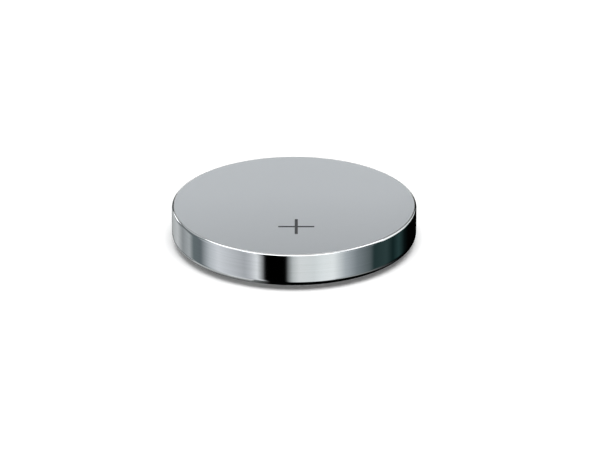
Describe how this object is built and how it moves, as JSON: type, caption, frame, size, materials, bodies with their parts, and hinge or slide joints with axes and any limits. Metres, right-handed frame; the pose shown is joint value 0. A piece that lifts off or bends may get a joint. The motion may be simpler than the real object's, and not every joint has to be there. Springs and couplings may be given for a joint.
{
  "type": "lithium coin cell",
  "caption": "Round lithium coin cell: a flat steel can with a curled edge, closed by a plastic gasket and a stepped steel cap.",
  "frame": {"origin": "centre of the negative contact face, on the surface that the cell lies on", "axes": "+Z along the cell's axis, from the negative contact to the positive one; +X to the right in the picture"},
  "size_m": [0.02, 0.02, 0.0032],
  "materials": {
    "can_steel": "satin face, polished wall",
    "cap_steel": "satin, finely pebbled contact face",
    "gasket_plastic": "natural polypropylene",
    "lithium_foil": "dull soft foil",
    "separator_fabric": "white non-woven",
    "cathode_mix": "pressed black powder",
    "ring_steel": "rolled strip"
  },
  "bodies": {
    "root": {"positive_can": "can_steel", "negative_cap": "cap_steel", "gasket": "gasket_plastic", "lithium_anode": "lithium_foil", "separator": "separator_fabric", "cathode_pellet": "cathode_mix", "cathode_ring": "ring_steel"}
  },
  "joints": []
}
